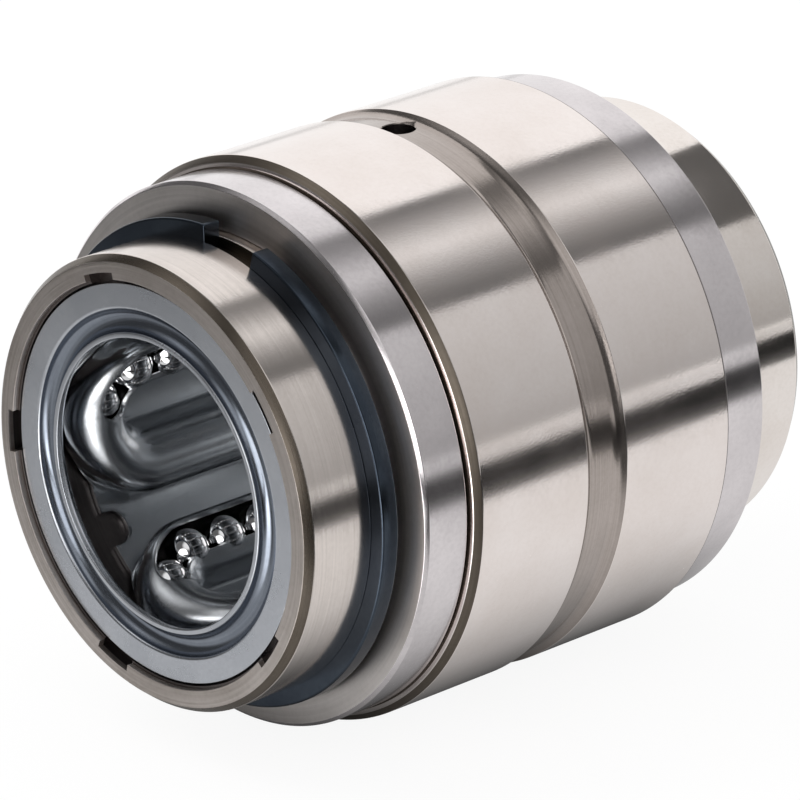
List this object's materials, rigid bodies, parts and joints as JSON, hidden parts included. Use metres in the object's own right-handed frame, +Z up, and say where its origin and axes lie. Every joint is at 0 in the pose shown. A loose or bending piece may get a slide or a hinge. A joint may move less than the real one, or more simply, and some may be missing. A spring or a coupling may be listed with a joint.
{
  "type": "rotary linear bushing",
  "caption": "Closed recirculating ball bushing inside a needle bearing, which lets a round shaft slide and turn in one housing bore.",
  "frame": {"origin": "middle of the ball bushing on its axis", "axes": "+Y along the axis from the front end to the rear end, +Z up"},
  "size_m": [0.05, 0.058, 0.05],
  "materials": {
    "sleeve_steel": "ground, light brushed along the turning direction",
    "end_ring_steel": "pressed sheet, satin to bright",
    "cage_steel": "pressed sheet, bright",
    "ball_steel": "polished",
    "blued_steel": "blued, satin",
    "spacer_steel": "ground",
    "outer_ring_steel": "ground cylinder, dull lubrication groove",
    "needle_cage_steel": "satin",
    "needle_steel": "polished"
  },
  "bodies": {
    "outer_ring": {"needle_outer_ring": "outer_ring_steel"},
    "bushing": {"bushing_sleeve": "sleeve_steel", "front_end_ring": "end_ring_steel", "rear_end_ring": "end_ring_steel", "ball_cage": "cage_steel", "circuit_1_load_balls": "ball_steel", "circuit_2_load_balls": "ball_steel", "circuit_3_load_balls": "ball_steel", "circuit_4_load_balls": "ball_steel", "circuit_5_load_balls": "ball_steel", "circuit_1_return_balls": "ball_steel", "circuit_2_return_balls": "ball_steel", "circuit_3_return_balls": "ball_steel", "circuit_4_return_balls": "ball_steel", "circuit_5_return_balls": "ball_steel", "front_retaining_ring": "blued_steel", "rear_retaining_ring": "blued_steel", "front_spacer_ring": "spacer_steel", "rear_spacer_ring": "spacer_steel"},
    "needle_set": {"needle_cage": "needle_cage_steel", "needle_rollers": "needle_steel"}
  },
  "joints": [
    {"name": "bushing_turn", "type": "hinge", "parent": "outer_ring", "child": "bushing", "pos_m": [0, 0, 0], "axis": [0, 1, 0], "continuous": true},
    {"name": "needle_set_turn", "type": "hinge", "parent": "outer_ring", "child": "needle_set", "pos_m": [0, 0, 0], "axis": [0, 1, 0], "continuous": true}
  ],
  "couplings": [
    {"joint": "needle_set_turn", "follows": "bushing_turn", "ratio": 0.4701}
  ]
}
